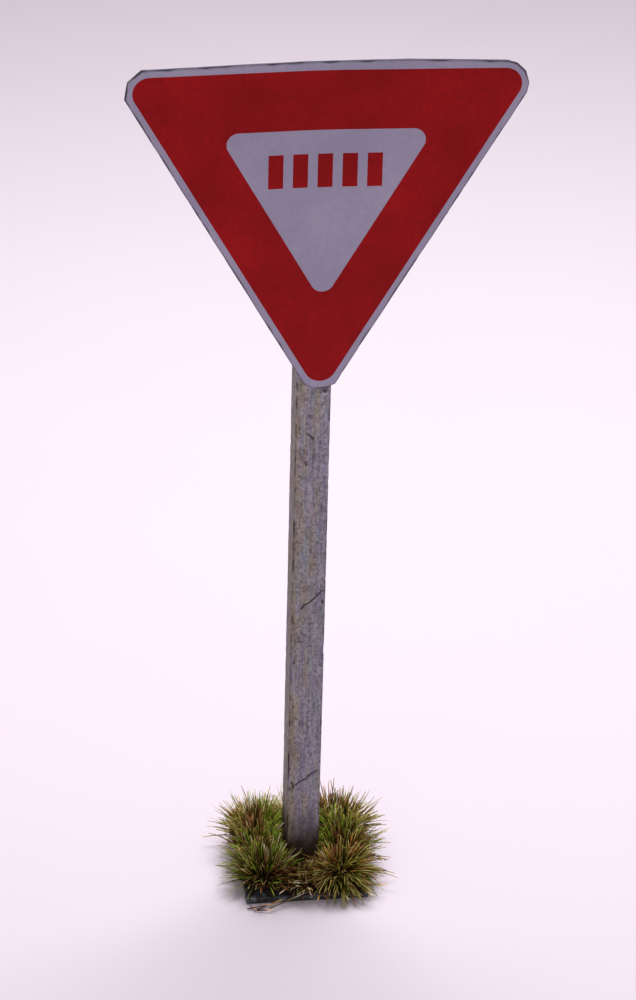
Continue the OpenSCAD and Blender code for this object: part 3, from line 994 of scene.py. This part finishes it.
def make_tuft(ending, shares, amount, stretch, spread, sag, patches, bunch, material, rng):
    """A dense mound of short fibres with longer ones fanning out of it."""
    pad_low, pad_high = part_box("pad_" + ending)
    middle = (pad_low + pad_high) / 2
    reach = (pad_high.x - pad_low.x) / 2
    away = math.atan2(middle.y, middle.x)
    dyes = [dye for dye, share in zip(DYES_AND_PAINTED_LIGHT, shares) for _ in range(share)]
    clumps = [((i + rng.random()) / CLUMPS * 2 * math.pi, rng.choice(dyes))
              for i in range(CLUMPS)]
    for number in range(round(amount * (LONG_FIBRES + SHORT_FIBRES))):
        is_long = number < amount * LONG_FIBRES
        ring = math.sqrt(rng.random())
        clump, clump_dye = rng.choice(clumps)
        heading = clump + rng.gauss(0, 0.42)
        dye = clump_dye if rng.random() < 0.5 else rng.choice(dyes)
        for patch_dye, towards, half_width in patches:
            off = (math.degrees(heading) - towards + 180) % 360 - 180
            if abs(off) < half_width and ring > 0.3 and rng.random() < 0.6:
                dye = patch_dye
        root = Vector((middle.x + 0.95 * reach * ring * math.cos(heading),
                       middle.y + 0.95 * reach * ring * math.sin(heading),
                       pad_high.z - (0.15 + 0.35 * ring ** 3) * MM))
        # fibres on the side away from the post lie lower than those beside it
        outward = 0.5 + 0.5 * math.cos(heading - away)
        lean = 4 + spread * (46 + 26 * outward) * ring ** 1.2 + rng.gauss(0, 9)
        if not is_long:
            lean = rng.uniform(0, 1) * spread * (58 + 26 * outward)
        heading += rng.gauss(0, 0.5)
        length = stretch * rng.uniform(*(LONG_LENGTH if is_long else SHORT_LENGTH)) * MM
        if middle.y < -5 * MM and outward < 0.3:
            length *= 0.72      # the post's foot stays in sight
        droop = rng.uniform(-22, 34) + (12 + sag * (1 + outward)) * ring
        # long fibres further out get more of the pale tip: painted backlight on the tuft's outside
        lay_fibre(bunch, root, lean, heading, length, droop,
                  FIBRE_WIDTH * MM * rng.uniform(0.7, 1.3), dye,
                  rng.uniform(0.65, 1.25), 0.5 + 0.5 * ring if is_long else 0.3)
    return build_fibres("tuft_" + ending, bunch, material, "grass_" + ending)


# Single fibres: root (x, y, z) in mm, lean and heading in degrees, length in mm, droop in
# degrees, and dye
STRAYS = [
    ((-5.0, 2.9, 2.5), 33, -58, 7.6, 4, "straw"),
    ((0.8, -2.75, 2.4), 42, -88, 4.2, 20, "straw"),
    ((0.4, -3.6, 2.2), 55, -70, 3.6, 10, "straw"),
    ((-4.1, -7.4, 1.9), 66, -22, 3.6, 12, "straw"),
    ((-3.6, -8.0, 1.8), 70, -10, 4.0, 10, "straw"),
    ((-3.9, -7.8, 2.3), 58, -34, 3.4, 24, "straw"),
    ((-2.2, -8.0, 2.0), 72, -128, 4.0, 14, "straw"),
    ((-9.4, -10.9, 0.25), 86, 8, 4.2, 2, "rust"),
    ((-8.3, -11.3, 0.25), 88, 24, 5.4, -2, "rust"),
    ((-8.0, -11.5, 0.3), 84, -12, 2.4, 0, "rust"),
    ((-8.9, -10.1, 0.3), 84, -64, 1.9, 0, "rust"),
    ((-6.1, -11.7, 0.6), 83, 25, 6.8, 3, "straw"),
    ((2.2, -9.2, 1.6), 74, -112, 3.4, 30, "rust"),
    ((4.9, -9.6, 1.6), 76, -66, 3.0, 34, "straw"),
    ((7.6, -9.2, 1.5), 72, -48, 3.2, 30, "straw"),
    ((8.8, -8.2, 1.5), 70, -20, 3.6, 24, "rust"),
]
LITTER = 420                # short flock that missed the tufts and lies on the paste
COLLAR = 150                # fibres that stand close round the post


def make_strays(bunch, material, rng):
    """Stray fibres: some pale ones, brightened as painted light where they catch it, short dark
    litter on the paste, and a low collar round the post."""
    for root, lean, heading, length, droop, dye in STRAYS:
        # rust strays are brightened 1.6 times and straw ones 1.1 times: painted light where they
        # catch it
        lay_fibre(bunch, Vector(root) * MM, lean, math.radians(heading), length * MM, droop,
                  STRAY_WIDTH * MM, dye, 1.6 if dye == "rust" else 1.1)
    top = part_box("ground_paste")[1]
    for _ in range(LITTER):
        spot = Vector((rng.uniform(-1, 1) * (top.x - 0.4 * MM),
                       rng.uniform(-1, 1) * (top.y - 0.4 * MM),
                       top.z + rng.uniform(0, 0.8) * MM))
        if max(abs(spot.x), abs(spot.y)) < 3.0 * MM:
            continue
        lay_fibre(bunch, spot, rng.uniform(40, 92), rng.uniform(0, 2 * math.pi),
                  rng.uniform(1.2, 3.0) * MM, rng.uniform(-10, 20), FIBRE_WIDTH * MM,
                  rng.choice(["earth", "earth", "olive", "moss"]), rng.uniform(0.6, 1.1), 0.4)
    for _ in range(COLLAR):
        place = rng.uniform(-3.4, 3.4)
        gap = rng.uniform(2.75, 4.0) * rng.choice((-1, 1))
        spot = Vector((place, gap, 0) if rng.random() < 0.5 else (gap, place, 0)) * MM
        spot.z = top.z + rng.uniform(0, 0.5) * MM
        tallest = 2.2 if spot.y < 0 else 4.6
        lay_fibre(bunch, spot, rng.uniform(0, 48), math.atan2(spot.y, spot.x) + rng.gauss(0, 1.0),
                  rng.uniform(1.2, tallest) * MM, rng.uniform(-10, 20), FIBRE_WIDTH * MM,
                  rng.choice(["earth", "earth", "earth", "rust", "moss"]),
                  rng.uniform(0.6, 1.1), 0.4)
    return build_fibres("stray_fibres", bunch, material)


def build_fibres(name, bunch, material, *nodes):
    """Makes one piece of a bunch of fibres, each point with its dye."""
    mesh = bpy.data.meshes.new(name)
    mesh.from_pydata(bunch["points"], [], bunch["faces"])
    tints = mesh.attributes.new("fibre_tint", "FLOAT_COLOR", "POINT")
    for cell, tint in zip(tints.data, bunch["tints"]):
        cell.color = tint
    tuft = bpy.data.objects.new(name, mesh)
    bpy.context.scene.collection.objects.link(tuft)
    return finish_piece(tuft, "grass_fibre", material, *nodes, smooth=180)


def make_pad(ending, material):
    """A low latex dome with a lumpy rim, under each tuft."""
    low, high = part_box("pad_" + ending)
    middle = (low + high) / 2
    bpy.ops.mesh.primitive_uv_sphere_add(segments=28, ring_count=14, radius=1, location=(0, 0, 0))
    pad = put_in_place(bpy.context.active_object, "latex_" + ending)
    start_edit(pad, "FACE")
    bpy.ops.mesh.select_all(action="SELECT")
    bpy.ops.mesh.bisect(plane_co=(0, 0, 0), plane_no=(0, 0, 1), use_fill=True, clear_inner=True)
    end_edit()
    for vertex in pad.data.vertices:
        p = vertex.co.copy()
        wave = 1 - 0.12 * (0.5 + 0.5 * waver(p.x * 2, p.y * 2, middle.x * 900))
        vertex.co = Vector((middle.x + p.x * wave * (high.x - low.x) / 2,
                            middle.y + p.y * wave * (high.y - low.y) / 2,
                            low.z + p.z * wave * (high.z - low.z)))
    return finish_piece(pad, "tuft_pad", material, "pad_" + ending, smooth=60)


# ---------------- the scene

make_camera()
soft_light("overhead_softbox", place=(0.05, 0.15, 0.44), target=(0.02, -0.02, 0), size=0.25,
           watts=2.4, tint=(1.0, 0.965, 0.99))
soft_light("front_fill", place=(-0.35, -0.75, 0.55), target=(0, 0, 0.08), size=0.6,
           watts=1.0, tint=(1.0, 0.97, 0.99))

world = bpy.data.worlds.new("pale_room")
bpy.context.scene.world = world
world.use_nodes = True
room = world.node_tree
set_inputs(room, room.nodes["Background"], {"Color": linear("#fffbfe"), "Strength": 0.35})
bpy.context.scene.view_settings.view_transform = "Standard"

bpy.ops.mesh.primitive_plane_add(size=PAPER_SWEEP, location=(0, 0, 0))
floor = bpy.context.active_object
floor.name = "paper_sweep"
floor.data.materials.append(pale_floor())

make_post(weathered_strip_wood())
cut_outline = outline_of("sign_card")
make_sign_card(grey_card(), cut_outline)
# the white print is coloured lavender grey, darker than white paper: painted shade on the sign's
# face
white_print_painted_shade = printed_paper("laser_print_white_painted_shade", "#b6aec6", "#aaa2bb")
red_print = printed_paper("laser_print_red", "#b01016", "#980a10")
for area, slot, ink in (
        ("border", "paper_white", white_print_painted_shade), ("red_band", "paper_red", red_print),
        ("field", "paper_white", white_print_painted_shade), ("bars", "paper_red", red_print)):
    make_print("label_" + area, "print_" + area, slot, ink, cut_outline)
make_glue(dried_glue())
make_plate(painted_styrene())
make_paste(earth_paste())

fibre_shape = make_fibre()
object_box = [Vector(corner) for corner in cad_box]
latex = latex_pad()
grass = static_grass()
draws = random.Random(16)
for tuft in TUFTS:
    make_pad(tuft[0], latex)
    make_tuft(*tuft, new_bunch(fibre_shape, object_box), grass, draws)
make_strays(new_bunch(fibre_shape, object_box), grass, draws)
